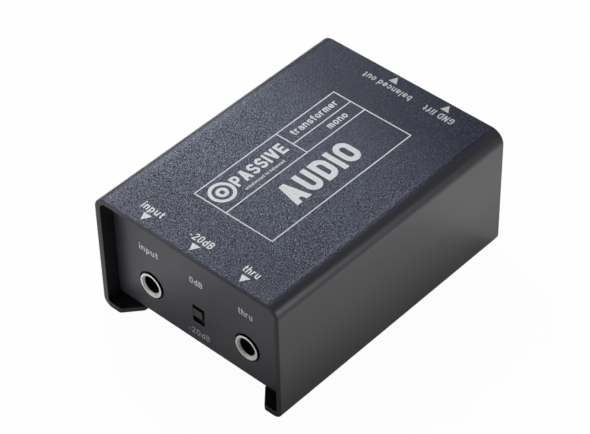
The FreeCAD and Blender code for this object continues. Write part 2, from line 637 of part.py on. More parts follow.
def build_xlr_fixings():
    """Countersunk flange screws and the nuts behind the rear panel."""
    blade = (-CROSS_HALF_L, CROSS_HALF_L, XLR_FACE_Y - CROSS_DEPTH, XLR_FACE_Y + OVER,
             -CROSS_HALF_W, CROSS_HALF_W)
    inner_y = REAR_Y - TRAY_T
    screws, nuts = [], []
    for x, z in XLR_SCREW_XZ:
        screw = cone_y(1.55, 2.9, XLR_FACE_Y - 1.38, XLR_FACE_Y - 0.05, x, z)
        screw = screw.fuse(cyl_y(SCREW_R, REAR_Y - 6.5, XLR_FACE_Y - 1.3, x, z))
        screws.append(cut_cross(screw.removeSplitter(), blade, (0, 1, 0),
                                XLR_CROSS_TURN, (x, 0, z)))
        nuts.append(hex_nut(XLR_NUT_FLATS, SCREW_NUT_R, inner_y - XLR_NUT_T, inner_y, x, z))
    save("xlr_screws", *screws)
    save("xlr_nuts", *nuts)


# --------------------------------------------------------------- transformer
TRAFO_X, TRAFO_Y, TRAFO_Z = -1.0, 2.0, 16.3     # centre
CORE_LEG = 4.0
CORE_MID = 8.0
WINDOW = 4.0
CORE_L = 24.0                               # along X
CORE_W = CORE_MID + 2 * (WINDOW + CORE_LEG)     # along Y
CORE_T = 10.0                               # stack height, Z
CORE_X0, CORE_X1 = TRAFO_X - CORE_L / 2, TRAFO_X + CORE_L / 2
CORE_Y0, CORE_Y1 = TRAFO_Y - CORE_W / 2, TRAFO_Y + CORE_W / 2
CORE_Z0, CORE_Z1 = TRAFO_Z - CORE_T / 2, TRAFO_Z + CORE_T / 2

BOBBIN_X0 = CORE_X0 + CORE_LEG + 0.15
BOBBIN_X1 = CORE_X1 - CORE_LEG - 0.15
BOBBIN_BORE = (CORE_MID / 2 + 0.12, CORE_T / 2 + 0.12)      # half sizes, Y and Z
BOBBIN_TUBE = tuple(half + 0.8 for half in BOBBIN_BORE)
CHEEK_T = 0.9
TRAFO_PIN_PITCH = 5.0
TRAFO_PIN_TOP = PCB_TOP + 2.4
WINDING_T = 2.0
TAPE_T = 0.3


def build_core():
    """E core opening towards +X, closed by the I core."""
    seam_x = CORE_X1 - CORE_LEG
    core = box(CORE_X0, seam_x, CORE_Y0, CORE_Y1, CORE_Z0, CORE_Z1)
    for side in (-1, 1):
        y_min, y_max = sorted((TRAFO_Y + side * CORE_MID / 2,
                               TRAFO_Y + side * (CORE_MID / 2 + WINDOW)))
        core = core.cut(box(CORE_X0 + CORE_LEG, CORE_X1, y_min, y_max,
                            CORE_Z0 - OVER, CORE_Z1 + OVER))
    save("transformer_e_core", core)
    save("transformer_i_core", box(seam_x, CORE_X1, CORE_Y0, CORE_Y1, CORE_Z0, CORE_Z1))


def trafo_block(x_min, x_max, halves, grow=0.0):
    """Box round the winding axis, from half sizes in Y and Z grown all round."""
    half_y, half_z = halves[0] + grow, halves[1] + grow
    return box(x_min, x_max, TRAFO_Y - half_y, TRAFO_Y + half_y,
               TRAFO_Z - half_z, TRAFO_Z + half_z)


def build_bobbin():
    """Tube with two cheeks, each on a foot that holds four pins."""
    bobbin = trafo_block(BOBBIN_X0, BOBBIN_X1, BOBBIN_TUBE)
    cheek_top = TRAFO_Z + BOBBIN_TUBE[1] + 2.6
    cheek_half = CORE_MID / 2 + WINDOW - 0.15
    pins = []
    for end_x, side in ((BOBBIN_X0, -1), (BOBBIN_X1, 1)):
        cheek_x = sorted((end_x, end_x - side * CHEEK_T))
        bobbin = bobbin.fuse(box(*cheek_x, TRAFO_Y - cheek_half, TRAFO_Y + cheek_half,
                                 SEAT_Z, cheek_top))
        foot_x = sorted((end_x - side * CHEEK_T, end_x + side * 3.0))
        bobbin = bobbin.fuse(box(*foot_x, TRAFO_Y - 10.5, TRAFO_Y + 10.5,
                                 SEAT_Z, CORE_Z0 - 0.15))
        for i in range(4):
            x, y = end_x + side * 1.8, TRAFO_Y + (i - 1.5) * TRAFO_PIN_PITCH
            bobbin = bobbin.cut(cyl_z(0.41, PCB_TOP - OVER, TRAFO_PIN_TOP, x, y))
            pins.append(cyl_z(0.4, TAIL_Z, TRAFO_PIN_TOP, x, y))
            board_holes.append((x, y, 0.55))
    bobbin = bobbin.cut(trafo_block(BOBBIN_X0 - 5, BOBBIN_X1 + 5, BOBBIN_BORE))
    save("transformer_bobbin", bobbin.removeSplitter())
    save("transformer_pins", *pins)


def build_winding():
    """Winding round the bobbin tube, and the tape round the winding."""
    x_min, x_max = BOBBIN_X0 + CHEEK_T + 0.05, BOBBIN_X1 - CHEEK_T - 0.05
    cut_x = (x_min - OVER, x_max + OVER)
    coil = fillet_along(trafo_block(x_min, x_max, BOBBIN_TUBE, WINDING_T), 1.6, AXIS_X)
    save("transformer_winding", coil.cut(trafo_block(*cut_x, BOBBIN_TUBE, 0.02)))
    tape = fillet_along(trafo_block(x_min, x_max, BOBBIN_TUBE, WINDING_T + TAPE_T),
                        1.85, AXIS_X)
    hole = fillet_along(trafo_block(*cut_x, BOBBIN_TUBE, WINDING_T + 0.03), 1.6, AXIS_X)
    save("transformer_tape", tape.cut(hole))


# -------------------------------------------------- resistors and capacitors
RESISTOR_XY = ((-7.4, -27.0), (-7.4, -22.5), (6.4, -27.0),
               (6.4, -22.5), (22.0, 8.0), (22.0, 13.0))
RESISTOR_Z = PCB_TOP + 1.35
RESISTOR_LEAD_DX = 4.6
CAPACITOR_XY = ((22.5, -4.0), (-22.0, 6.0))
CAPACITOR_LEAD_TOP = PCB_TOP + 1.5
LEAD_R = 0.3
LEAD_BORE_R = 0.31
LEAD_HOLE_R = 0.4


def build_resistors():
    """Bodies along X with wider end caps, on leads bent down through the board."""
    bodies, leads = [], []
    for x, y in RESISTOR_XY:
        body = cyl_x(0.95, x - 2.4, x + 2.4, y, RESISTOR_Z)
        body = body.fuse([cyl_x(1.2, x - 3.1, x - 1.9, y, RESISTOR_Z),
                          cyl_x(1.2, x + 1.9, x + 3.1, y, RESISTOR_Z)])
        bodies.append(body.removeSplitter().cut(
            cyl_x(LEAD_BORE_R, x - 4, x + 4, y, RESISTOR_Z)))
        left, right = x - RESISTOR_LEAD_DX, x + RESISTOR_LEAD_DX
        leads.append(round_wire([(left, y, LEAD_Z), (left, y, RESISTOR_Z),
                                 (right, y, RESISTOR_Z), (right, y, LEAD_Z)], LEAD_R))
        board_holes.extend([(left, y, LEAD_HOLE_R), (right, y, LEAD_HOLE_R)])
    save("resistor_bodies", *bodies)
    save("resistor_leads", *leads)


def build_capacitors():
    bodies, leads = [], []
    for x, y in CAPACITOR_XY:
        body = round_box(x - 3.6, x + 3.6, y - 1.75, y + 1.75,
                         PCB_TOP + 0.1, PCB_TOP + 7.2, 0.4, AXIS_Z)
        for lead_x in (x - 2.5, x + 2.5):
            body = body.cut(cyl_z(LEAD_BORE_R, PCB_TOP - OVER, CAPACITOR_LEAD_TOP, lead_x, y))
            leads.append(cyl_z(LEAD_R, LEAD_Z, CAPACITOR_LEAD_TOP, lead_x, y))
            board_holes.append((lead_x, y, LEAD_HOLE_R))
        bodies.append(body)
    save("film_capacitors", *bodies)
    save("capacitor_leads", *leads)


# --------------------------------------------------------------- ground bond
LUG_TOP = FLOOR_TOP + 0.5
GROUND_WIRE_R = 0.45


def build_ground_bond():
    """Screw and lug on the floor, and a wire from the lug up towards the board."""
    screw = cyl_z(SCREW_R, TRAY_Z, 5.0, GROUND_X, GROUND_Y)
    screw = screw.fuse(cyl_z(2.3, LUG_TOP, LUG_TOP + 1.5, GROUND_X, GROUND_Y))
    save("ground_screw", screw.removeSplitter())
    lug = cyl_z(3.0, FLOOR_TOP, LUG_TOP, GROUND_X, GROUND_Y)
    lug = lug.fuse(box(GROUND_X, GROUND_X + 8.0, GROUND_Y - 1.2, GROUND_Y + 1.2,
                       FLOOR_TOP, LUG_TOP))
    lug = lug.cut(cyl_z(1.55, FLOOR_TOP - OVER, LUG_TOP + OVER, GROUND_X, GROUND_Y))
    save("ground_lug", lug.removeSplitter())
    wire_z = LUG_TOP + GROUND_WIRE_R
    bend_x = GROUND_X + 9.5
    save("ground_wire", round_wire([(GROUND_X + 6.5, GROUND_Y, wire_z),
                                    (bend_x, GROUND_Y, wire_z),
                                    (bend_x, GROUND_Y, PCB_Z - 0.15)], GROUND_WIRE_R))


# ---------------------------------------------------------------- main board
PCB_W = 64.4
PCB_D = 89.2


def build_board():
    board = round_box(-PCB_W / 2, PCB_W / 2, -PCB_D / 2, PCB_D / 2, PCB_Z, PCB_TOP,
                      1.0, AXIS_Z)
    cut_z = (PCB_Z - OVER, PCB_TOP + OVER)
    for x, y in STANDOFF_XY:
        board = board.cut(cyl_z(STANDOFF_HOLE_R, *cut_z, x, y))
    drills = [cyl_z(radius, *cut_z, x, y) for x, y, radius in board_holes]
    save("main_pcb", board.cut(Part.makeCompound(drills)))


os.makedirs("parts", exist_ok=True)
build_sleeve()
build_cover_screws()
build_tray()
build_clinch_nuts()
build_standoffs()
build_pcb_screws()
for jack_name, jack_x in JACKS:
    build_jack_body(jack_name, jack_x)
    build_jack_nose(jack_name, jack_x)
    build_tip_spring(jack_name, jack_x)
    build_tip_terminal(jack_name, jack_x)
    build_jack_lugs(jack_name, jack_x)
build_slide_switch("pad", PAD_X, FRONT_Y, 1)
build_slide_switch("lift", LIFT_X, REAR_Y, -1)
build_xlr_shell()
build_xlr_insert()
build_xlr_pins()
build_xlr_fixings()
build_core()
build_bobbin()
build_winding()
build_resistors()
build_capacitors()
build_ground_bond()
build_board()    # last, once every part has added its holes
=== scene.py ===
"""Looks, printed legends and stage for a small metal audio box.

The box is a folded sleeve round a tray. The front panel, with two jacks and a
slide switch, faces -Y; the rear panel, with the XLR, faces +Y; the top faces +Z.
Lengths are metres, apart from the print tables, which are millimetres.
"""
import math
from collections import namedtuple

import bmesh
import bpy
from mathutils import Matrix, Vector
from mathutils.geometry import delaunay_2d_cdt


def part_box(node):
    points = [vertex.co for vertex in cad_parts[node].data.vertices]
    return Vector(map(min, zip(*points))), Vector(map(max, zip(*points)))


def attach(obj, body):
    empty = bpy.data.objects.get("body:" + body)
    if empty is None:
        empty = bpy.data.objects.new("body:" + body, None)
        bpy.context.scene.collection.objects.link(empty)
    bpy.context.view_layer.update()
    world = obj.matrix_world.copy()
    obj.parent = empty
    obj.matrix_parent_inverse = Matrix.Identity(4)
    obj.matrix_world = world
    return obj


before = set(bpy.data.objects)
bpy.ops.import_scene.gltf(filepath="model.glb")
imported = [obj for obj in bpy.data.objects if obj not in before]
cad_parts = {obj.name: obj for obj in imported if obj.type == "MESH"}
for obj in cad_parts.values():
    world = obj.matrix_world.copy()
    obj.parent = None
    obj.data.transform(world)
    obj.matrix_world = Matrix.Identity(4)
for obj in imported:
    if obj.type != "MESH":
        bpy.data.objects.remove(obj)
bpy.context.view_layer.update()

scene = bpy.context.scene
MM = 0.001

# ------------------------------------------------------------------ places
sleeve_lo, sleeve_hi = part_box("sleeve_cover")
tray_lo, tray_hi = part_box("chassis_tray")
TOP = sleeve_hi.z
BOTTOM = sleeve_lo.z
WALL = 0.0020                        # sleeve sheet thickness
PANEL_Y = tray_lo.y                  # outer face of the front panel
REAR_Y = tray_hi.y                   # outer face of the rear panel


def middle_x(piece):
    lo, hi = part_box(piece)
    return (lo.x + hi.x) / 2


XLR_X = middle_x("xlr_shell")
LIFT_X = middle_x("lift_switch_frame")


# --------------------------------------------------------------- node tools
def rgb(*levels):
    """Linear colour from sRGB levels of 0 to 255."""
    def linear(level):
        level = level / 255.0
        return level / 12.92 if level <= 0.04045 else ((level + 0.055) / 1.055) ** 2.4
    return (*map(linear, levels), 1.0)


def dim(colour, factor):
    return tuple(level * factor for level in colour[:3]) + (1.0,)


class Mat:
    """A node material with short calls; each takes plain values and sockets alike."""

    def __init__(self, name):
        self.material = bpy.data.materials.new(name)
        self.material.use_nodes = True
        self.tree = self.material.node_tree
        self.shader = self.tree.nodes["Principled BSDF"]
        self.coords = self.node("ShaderNodeTexCoord").outputs["Object"]

    def put(self, socket, value):
        if isinstance(value, bpy.types.NodeSocket):
            self.tree.links.new(value, socket)
        else:
            socket.default_value = value

    def node(self, kind, props=None, **inputs):
        """Adds a node; inputs go by name, or as i0, i1... by number."""
        node = self.tree.nodes.new(kind)
        for key, value in (props or {}).items():
            setattr(node, key, value)
        for key, value in inputs.items():
            numbered = key[0] == "i" and key[1:].isdigit()
            self.put(node.inputs[int(key[1:]) if numbered else key.replace("_", " ")], value)
        return node

    def surface(self, **inputs):
        """Sets the main shader's inputs and returns the material."""
        for key, value in inputs.items():
            self.put(self.shader.inputs[key.replace("_", " ")], value)
        return self.material

    def axes(self):
        return self.node("ShaderNodeSeparateXYZ", Vector=self.coords).outputs

    def facing(self):
        """The face's own normal in object space, as three outputs."""
        normal = self.node("ShaderNodeNewGeometry").outputs["Normal"]
        turn = self.node("ShaderNodeVectorTransform",
                         {"vector_type": "NORMAL", "convert_from": "WORLD",
                          "convert_to": "OBJECT"}, Vector=normal)
        return self.node("ShaderNodeSeparateXYZ", Vector=turn.outputs[0]).outputs

    def math(self, operation, value, other=0.0):
        node = self.node("ShaderNodeMath", {"operation": operation}, i0=value, i1=other)
        return node.outputs[0]

    def add(self, value, plus):
        return self.math("ADD", value, plus)

    def sub(self, value, less):
        return self.math("SUBTRACT", value, less)

    def mul(self, value, by):
        return self.math("MULTIPLY", value, by)

    def mul_add(self, value, by, plus):
        return self.node("ShaderNodeMath", {"operation": "MULTIPLY_ADD"},
                         i0=value, i1=by, i2=plus).outputs[0]

    def abs(self, value):
        return self.math("ABSOLUTE", value)

    def invert(self, value):
        return self.sub(1.0, value)

    def above(self, value, limit):
        return self.math("GREATER_THAN", value, limit)

    def below(self, value, limit):
        return self.math("LESS_THAN", value, limit)

    def wave(self, value, period):
        return self.math("SINE", self.mul(value, by=2 * math.pi / period))

    def noise(self, scale, detail=2.0, rough=0.5, at=None, output="Fac"):
        return self.node("ShaderNodeTexNoise", Vector=at or self.coords, Scale=scale,
                         Detail=detail, Roughness=rough).outputs[output]

    def remap(self, value, span, to=(0.0, 1.0), curve="LINEAR"):
        """Carries the span onto another, clamped at both ends."""
        return self.node("ShaderNodeMapRange", {"interpolation_type": curve, "clamp": True},
                         i0=value, i1=span[0], i2=span[1], i3=to[0], i4=to[1]).outputs[0]

    def smooth(self, value, span, to=(0.0, 1.0)):
        return self.remap(value, span, to, "SMOOTHSTEP")

    def spread(self, noise, low=0.0, high=1.0):
        """Carries the busy middle of a noise onto low to high."""
        return self.remap(noise, span=(0.3, 0.7), to=(low, high))

    def mix(self, share, under, over, blend="MIX"):
        node = self.node("ShaderNodeMix", {"data_type": "RGBA", "blend_type": blend},
                         i0=share, i6=under, i7=over)
        return node.outputs[2]

    def mottle(self, noise, dark, light):
        return self.mix(self.spread(noise), dark, light)

    def shade(self, colour, factor):
        grey = self.node("ShaderNodeCombineColor", Red=factor, Green=factor, Blue=factor)
        return self.mix(1.0, colour, grey.outputs[0], blend="MULTIPLY")

    def bump(self, height, strength, distance):
        return self.node("ShaderNodeBump", Height=height, Strength=strength,
                         Distance=distance).outputs[0]


# ---------------------------------------------------------------- materials
def textured_paint():
    """Wrinkle paint of the sleeve, with separate looks on top, sides, cut ends and inside."""
    m = Mat("textured_paint")
    x, y, z = m.axes()
    nx, ny, nz = m.facing()
    off_middle = m.abs(x)

    # Inside faces of the sleeve: between the walls, under the top, clear of the ends.
    ease = 0.00003                   # lets the inner faces themselves count as inside
    between = m.below(off_middle, limit=abs(sleeve_lo.x) - WALL + ease)
    under = m.below(z, limit=TOP - WALL + ease)
    over = m.above(z, limit=BOTTOM + WALL - ease)
    off_ends = m.below(m.abs(y), limit=sleeve_hi.y - 0.0002)
    inside = m.mul(m.mul(between, under), m.mul(over, off_ends))
    top = m.mul(m.smooth(nz, span=(0.80, 0.998)), m.invert(inside))
    cut = m.remap(m.abs(ny), span=(0.80, 0.97))

    # Wrinkle texture: worm-like cells about half a millimetre long, and grain.
    warp = m.noise(scale=900.0, detail=1.0, output="Color")
    offset = m.node("ShaderNodeVectorMath", {"operation": "SCALE"}, i0=warp, Scale=0.0005)
    warped = m.node("ShaderNodeVectorMath", {"operation": "ADD"},
                    i0=m.coords, i1=offset.outputs[0]).outputs[0]
    cells = m.noise(scale=1750.0, rough=0.65, at=warped)
    fine = m.noise(scale=2800.0, rough=0.6, at=warped)
    ridge = m.abs(m.sub(m.noise(scale=1500.0, detail=1.0, at=warped), less=0.5))
    ridge = m.smooth(ridge, span=(0.0, 0.09), to=(1.0, 0.0))
    height = m.add(m.mul(cells, by=1.0), m.mul(fine, by=0.25))
    height = m.add(height, m.mul(ridge, by=0.16))

    # Top colour: dark blue with paler sparks.
    spark = m.remap(m.noise(scale=2000.0, rough=0.6, at=warped), span=(0.54, 0.68))
    tone = m.remap(cells, span=(0.36, 0.64))
    top_colour = m.mix(tone, under=rgb(18, 21, 31), over=rgb(37, 40, 54))
    top_colour = m.mix(m.mul(spark, by=0.30), top_colour, over=rgb(100, 110, 138))

    # Side colour. The cut ends of the sheet are coloured darker than the sides.
    side = m.mix(m.remap(cells, span=(0.35, 0.65)), under=rgb(74, 74, 76), over=rgb(79, 79, 81))
    side = m.mix(cut, side, over=rgb(20, 20, 22))
    # The long bends are coloured darker than the flat walls.
    side = m.mix(m.smooth(nz, span=(0.06, 0.35)), side, over=rgb(52, 51, 57))
    # Tuned to the light: the walls read darker towards the feet.
    low = m.smooth(z, span=(BOTTOM - 0.006, BOTTOM + 0.030), to=(0.45, 1.12))
    low = m.add(low, m.mul(m.invert(low), cut))
    side = m.shade(side, low)

    colour = m.mix(m.smooth(nz, span=(0.955, 0.9995)), side, top_colour)
    cloud = m.remap(m.noise(scale=22.0), span=(0.35, 0.65), to=(0.96, 1.04))
    colour = m.shade(colour, cloud)
    # Painted shade: the inside faces are coloured near black, the inner walls a little lighter than
    # the faces under the top and on the flanges.
    inside_shade = m.mix(m.remap(m.abs(nx), span=(0.5, 0.9)),
                   under=rgb(10, 10, 12), over=rgb(24, 23, 27))
    colour = m.mix(inside, colour, inside_shade)
    rough = m.add(m.spread(cells, low=0.30, high=0.38), m.mul(inside, by=0.35))

    # Tuned to the light: the relief reads strongest across the middle, weakest at the rear.
    coat = m.mul(m.smooth(y, span=(-0.050, -0.015), to=(0.00015, 0.00020)),
                 m.smooth(y, span=(0.0, 0.045), to=(1.0, 0.22)))
    edge = m.smooth(off_middle, span=(0.0300, 0.0365), to=(1.0, 0.35))
    coat = m.mul(coat, edge)
    least_relief = 0.00001
    depth = m.add(least_relief, m.mul(top, coat))

    # Tuned to the light: brightest across the middle, falling off to both ends and to the right.
    sheen = m.mul(m.smooth(y, span=(-0.046, -0.014), to=(0.30, 0.52)),
                  m.smooth(y, span=(0.0, 0.040), to=(1.0, 0.32)))
    sheen = m.mul(sheen, m.remap(x, span=(-0.034, 0.034), to=(1.10, 0.78)))
    # Each grain of the coat catches the light a little differently.
    grain = m.remap(m.noise(scale=1900.0, rough=0.7, at=warped),
                    span=(0.36, 0.64), to=(-0.5, 0.5))
    grain = m.mul(grain, m.smooth(y, span=(0.0, 0.045), to=(1.50, 0.30)))
    sheen = m.mul(sheen, m.add(1.0, m.mul(grain, edge)))
    plain = 0.45                     # specular level away from the top
    specular = m.add(plain, m.mul(top, m.sub(sheen, plain)))
    floor_inside = m.mul(inside, m.remap(nz, span=(0.5, 0.9)))
    specular = m.sub(specular, m.mul(floor_inside, by=0.22))
    # Tuned to the light: the cut ends read darker on the right.
    specular = m.sub(specular, m.mul(cut, m.remap(x, span=(-0.032, 0.010), to=(-0.02, 0.15))))
    # Bluish highlights on the top and on the upper lips of the ends.
    tint = m.mix(top, under=(1.0, 1.0, 1.0, 1.0), over=(0.71, 0.78, 1.0, 1.0))
    lip = m.mul(cut, m.smooth(z, span=(TOP - 0.006, TOP - WALL)))
    tint = m.mix(lip, tint, over=(0.80, 0.84, 1.0, 1.0))
    return m.surface(Base_Color=colour, Roughness=rough,
                     Normal=m.bump(height, strength=1.0, distance=depth),
                     Specular_IOR_Level=specular, Specular_Tint=tint)


def panel_paint():
    m = Mat("panel_paint")
    x, y, z = m.axes()
    ny = m.abs(m.facing()[1])
    patches = m.noise(scale=260.0, detail=3.0, rough=0.55)
    fine = m.noise(scale=2600.0)
    colour = m.mottle(patches, dark=rgb(54, 53, 60), light=rgb(59, 58, 66))
    # Painted shade: the walls of the cut-outs in the two panels are coloured near black.
    in_panel = m.above(m.abs(y), limit=abs(PANEL_Y) - 0.0017)
    off_bottom = m.above(z, limit=tray_lo.z + 0.0028)
    off_sides = m.below(m.abs(x), limit=tray_hi.x - 0.0010)
    painted_opening_shade = m.mul(m.mul(in_panel, off_bottom), m.mul(off_sides, m.below(ny, limit=0.5)))
    colour = m.mix(painted_opening_shade, colour, over=rgb(7, 7, 8))
    height = m.add(m.mul(fine, by=0.6), m.mul(patches, by=0.4))
    return m.surface(Base_Color=colour, Roughness=m.spread(patches, low=0.30, high=0.37),
                     Normal=m.bump(height, strength=0.14, distance=0.00004),
                     Specular_IOR_Level=0.45)


def turned_nickel(name, nose):
    """Turned and plated jack nose: fine rings about its axis along Y, painted shade in the bore and
    on the outside wall.
    """
    lo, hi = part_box(nose)
    pitch = 0.00011                  # between tool marks
    tint = rgb(250, 249, 243)
    m = Mat(name)
    x, y, z = m.axes()
    dx = m.sub(x, (lo.x + hi.x) / 2)
    dz = m.sub(z, (lo.z + hi.z) / 2)
    radius = m.math("SQRT", m.add(m.mul(dx, dx), m.mul(dz, dz)))
    marks = m.add(m.wave(radius, pitch), m.wave(y, pitch * 1.7))
    height = m.add(m.mul(marks, by=0.5), m.noise(scale=900.0, detail=3.0, rough=0.6))
    smudge = m.noise(scale=240.0, detail=3.0, rough=0.6)
    colour = m.mottle(smudge, tint, dim(tint, factor=0.88))
    back = m.sub(y, lo.y)            # depth behind the nose's front face
    bore_shade = m.mul(m.smooth(back, span=(0.0006, 0.0010)), m.below(radius, limit=0.0035))
    # Painted highlight: a spot low on the right of the mouth is kept out of the bore's painted
    # shade, so the bright plating shows there as a glint.
    turn = m.abs(m.add(m.math("ARCTAN2", dz, dx), plus=0.92))
    painted_glint = m.mul(m.remap(turn, span=(0.12, 0.20), to=(1.0, 0.0)),
                 m.remap(back, span=(0.0016, 0.0020), to=(1.0, 0.0)))
    bore_shade = m.mul(bore_shade, m.invert(painted_glint))
    # Painted shade: the ring's outside wall is coloured near black.
    side = m.mul(m.above(radius, limit=0.00442), m.remap(back, span=(0.00010, 0.00018)))
    dark = m.math("MAXIMUM", bore_shade, side)
    colour = m.mix(bore_shade, colour, over=rgb(15, 14, 12))
    colour = m.mix(side, colour, over=rgb(5, 5, 5))
    mouth = m.below(radius, limit=0.0041)
    metal = m.mul(m.mul_add(mouth, by=-0.42, plus=0.56), m.invert(dark))
    return m.surface(Base_Color=colour, Metallic=metal,
                     Specular_IOR_Level=m.mul_add(side, by=-0.42, plus=0.5),
                     Roughness=m.spread(smudge, low=0.32, high=0.32 + 0.12),
                     Normal=m.bump(height, strength=0.10, distance=0.00002))


def rolled_metal(name, tint, rough=0.3, axis=2, lines=2500.0, strength=0.12, metallic=1.0):
    """Sheet or wire with a drawn grain along one axis (0, 1, 2 for X, Y, Z)."""
    m = Mat(name)
    stretch = [1.0, 1.0, 1.0]
    stretch[axis] = 0.06
    drawn = m.node("ShaderNodeMapping", Vector=m.coords, Scale=stretch).outputs[0]
    grain = m.noise(scale=lines, detail=3.0, rough=0.6, at=drawn)
    colour = m.mottle(m.noise(scale=300.0), tint, dim(tint, factor=0.78))
    return m.surface(Base_Color=colour, Metallic=metallic,
                     Roughness=m.spread(grain, low=rough, high=rough + 0.16),
                     Normal=m.bump(grain, strength, distance=0.00002))


def moulded(name, dark, light, rough=0.42, grain=1800.0, strength=0.12, coat=0.0):
    """Moulded plastic: fine spark-eroded grain and slow tone drift."""
    m = Mat(name)
    pits = m.noise(scale=grain, detail=3.0, rough=0.6)
    return m.surface(Base_Color=m.mottle(m.noise(scale=120.0), dark, light),
                     Roughness=m.spread(pits, low=rough, high=rough + 0.12),
                     Normal=m.bump(pits, strength, distance=0.00003), Coat_Weight=coat)


def knob_plastic():
    m = Mat("knob_plastic")
    ny = m.abs(m.facing()[1])
    pits = m.noise(scale=2200.0, detail=3.0, rough=0.6)
    face = m.mottle(m.noise(scale=300.0), dark=rgb(44, 43, 46), light=rgb(52, 51, 54))
    # The flanks and the shoe behind the knob stay in the slot's shade.
    colour = m.mix(m.remap(ny, span=(0.55, 0.9)), rgb(5, 5, 6), face)
    return m.surface(Base_Color=colour, Roughness=m.spread(pits, low=0.42, high=0.52),
                     Normal=m.bump(pits, strength=0.12, distance=0.00003))


def laminate():
    """Circuit board: tracks under the mask, as patches of a brick grid."""
    m = Mat("green_laminate")
    grid = m.node("ShaderNodeTexBrick", {"offset": 0.5, "squash": 1.0}, Vector=m.coords,
                  Scale=240.0, Mortar_Size=0.018, Mortar_Smooth=0.2, Brick_Width=0.9,
                  Row_Height=0.35)
    line = m.mul(grid.outputs["Fac"], m.above(m.noise(scale=140.0), limit=0.52))
    weave = m.noise(scale=2600.0, detail=1.0)
    colour = m.mottle(weave, dark=rgb(14, 82, 44), light=rgb(18, 96, 52))
    colour = m.mix(m.mul(line, by=0.6), colour, over=rgb(34, 130, 74))
    height = m.add(line, m.mul(weave, by=0.2))
    return m.surface(Base_Color=colour, Roughness=0.28, Coat_Weight=0.4,
                     Normal=m.bump(height, strength=0.2, distance=0.00004))


def lamination_steel():
    m = Mat("lamination_steel")
    sheet = m.wave(m.axes()[2], period=0.0005)
    rust = m.noise(scale=420.0, detail=4.0, rough=0.65)
    colour = m.mix(m.remap(rust, span=(0.35, 0.7)), under=rgb(98, 96, 94), over=rgb(70, 58, 50))
    gap = m.remap(sheet, span=(-1.0, -0.4), to=(0.5, 0.0))
    colour = m.mix(gap, colour, over=rgb(26, 24, 22))
    return m.surface(Base_Color=colour, Metallic=0.75,
                     Roughness=m.spread(rust, low=0.38, high=0.6),
                     Normal=m.bump(sheet, strength=0.5, distance=0.00006))


def copper_wire():
    m = Mat("enamelled_copper")
    turns = m.wave(m.axes()[0], period=0.00022)
    uneven = m.noise(scale=500.0)
    colour = m.mottle(uneven, dark=rgb(160, 78, 38), light=rgb(190, 104, 54))
    return m.surface(Base_Color=colour, Metallic=0.85, Roughness=0.3, Coat_Weight=0.5,
                     Normal=m.bump(m.add(turns, uneven), strength=0.6, distance=0.00006))


def tape():
    m = Mat("polyester_tape")
    drawn = m.node("ShaderNodeMapping", Vector=m.coords, Scale=(1.0, 0.3, 0.3)).outputs[0]
    wrinkle = m.noise(scale=160.0, detail=3.0, rough=0.6, at=drawn)
    lap = m.wave(m.axes()[0], period=0.0046)
    colour = m.mottle(wrinkle, dark=rgb(196, 156, 40), light=rgb(222, 184, 62))
    colour = m.mix(m.remap(lap, span=(0.9, 1.0), to=(0.0, 0.4)), colour, over=rgb(150, 112, 22))
    height = m.add(wrinkle, m.mul(lap, by=0.3))
    return m.surface(Base_Color=colour, Roughness=0.22, Coat_Weight=0.6,
                     Normal=m.bump(height, strength=0.35, distance=0.0001))


def resistor():
    """Blue bodies with colour bands spaced along X."""
    m = Mat("resistor_blue")
    x = m.axes()[0]

    def pitches():
        """Distance along X in band pitches, kept positive."""
        return m.mul(m.add(x, plus=0.1), by=1.0 / 0.0012)
    pick = m.math("FRACT", m.mul(m.math("FLOOR", pitches()), by=0.37))
    ramp = m.node("ShaderNodeValToRGB", Fac=pick)
    ramp.color_ramp.interpolation = "CONSTANT"
    elements = ramp.color_ramp.elements
    band_colours = ((0.0, rgb(120, 60, 24)), (0.3, rgb(20, 20, 20)),
                    (0.55, rgb(200, 110, 20)), (0.8, rgb(170, 140, 60)))
    for i, (position, colour) in enumerate(band_colours):
        element = elements[i] if i < 2 else elements.new(position)
        element.position = position
        element.color = colour
    band = m.below(m.math("FRACT", pitches()), limit=0.42)
    grain = m.noise(scale=1200.0)
    body = m.mottle(grain, dark=rgb(96, 148, 178), light=rgb(110, 162, 190))
    return m.surface(Base_Color=m.mix(band, body, ramp.outputs["Color"]), Roughness=0.32,
                     Coat_Weight=0.3, Normal=m.bump(grain, strength=0.15, distance=0.00005))


def diecast():
    """Black casting, worn paler on its sharp convex edges."""
    m = Mat("black_diecast")
    grain = m.noise(scale=1500.0, detail=3.0, rough=0.6)
    pointed = m.node("ShaderNodeNewGeometry").outputs["Pointiness"]
    wear = m.remap(pointed, span=(0.54, 0.62))
    colour = m.mottle(grain, dark=rgb(30, 30, 32), light=rgb(38, 38, 40))
    colour = m.mix(m.mul(wear, by=0.35), colour, over=rgb(96, 94, 90))
    return m.surface(Base_Color=colour, Roughness=m.spread(grain, low=0.36, high=0.5),
                     Normal=m.bump(grain, strength=0.22, distance=0.00005),
                     Specular_IOR_Level=0.5)


def print_ink(name, dark, light):
    """Screen print: a slightly uneven, chalky layer."""
    m = Mat(name)
    grain = m.noise(scale=1500.0, detail=3.0, rough=0.65)
    drift = m.spread(m.noise(scale=200.0), low=0.0, high=0.12)
    colour = m.mix(m.remap(grain, span=(0.35, 0.65)), dark, light)
    colour = m.mix(drift, colour, dim(dark, factor=0.7))
    return m.surface(Base_Color=colour, Roughness=m.spread(grain, low=0.5, high=0.64),
                     Normal=m.bump(grain, strength=0.30, distance=0.00006))


